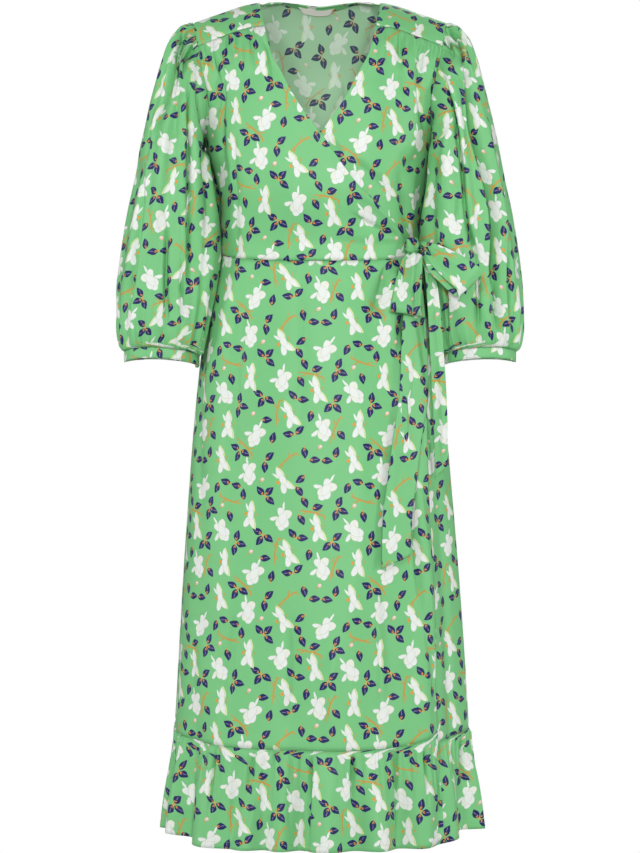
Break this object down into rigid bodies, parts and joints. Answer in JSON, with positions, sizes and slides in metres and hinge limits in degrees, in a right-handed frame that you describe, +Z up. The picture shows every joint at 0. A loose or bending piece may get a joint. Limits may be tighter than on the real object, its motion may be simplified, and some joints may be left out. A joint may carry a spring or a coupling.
{
  "type": "wrap dress",
  "caption": "Midi wrap dress with a V-neck, gathered shoulders, puffed sleeves with narrow cuffs, a bow at the waist and a ruffled hem, filled out as when worn.",
  "frame": {"origin": "midway between the two points where the shoulders meet the neck, which is where the wearer's shoulders hold the dress", "axes": "+Z up; the front faces -Y; +X is the wearer's left, where the bow is tied"},
  "size_m": [0.5736, 0.3633, 1.1865],
  "materials": {
    "printed_cloth": "light viscose crepe with a soft satin sheen, bright green with an all-over print of white blossoms, navy leaves, ochre twigs and small pink buds; the wrong side is paler and greyer",
    "label_tape": "plain woven label tape, cream, with nothing on it"
  },
  "bodies": {
    "root": {"back_neck_facing": "printed_cloth", "bodice_back": "printed_cloth", "bodice_front_over": "printed_cloth", "bodice_front_under": "printed_cloth", "cuff_left": "printed_cloth", "cuff_right": "printed_cloth", "label": "label_tape", "ruffle_back": "printed_cloth", "ruffle_over": "printed_cloth", "ruffle_under": "printed_cloth", "skirt_back": "printed_cloth", "skirt_front_over": "printed_cloth", "skirt_front_under": "printed_cloth", "sleeve_left": "printed_cloth", "sleeve_right": "printed_cloth", "tie_knot": "printed_cloth", "tie_loop_hanging": "printed_cloth", "tie_loop_side": "printed_cloth", "tie_tail_long": "printed_cloth", "tie_tail_short": "printed_cloth", "yoke_left": "printed_cloth", "yoke_right": "printed_cloth"}
  },
  "joints": []
}
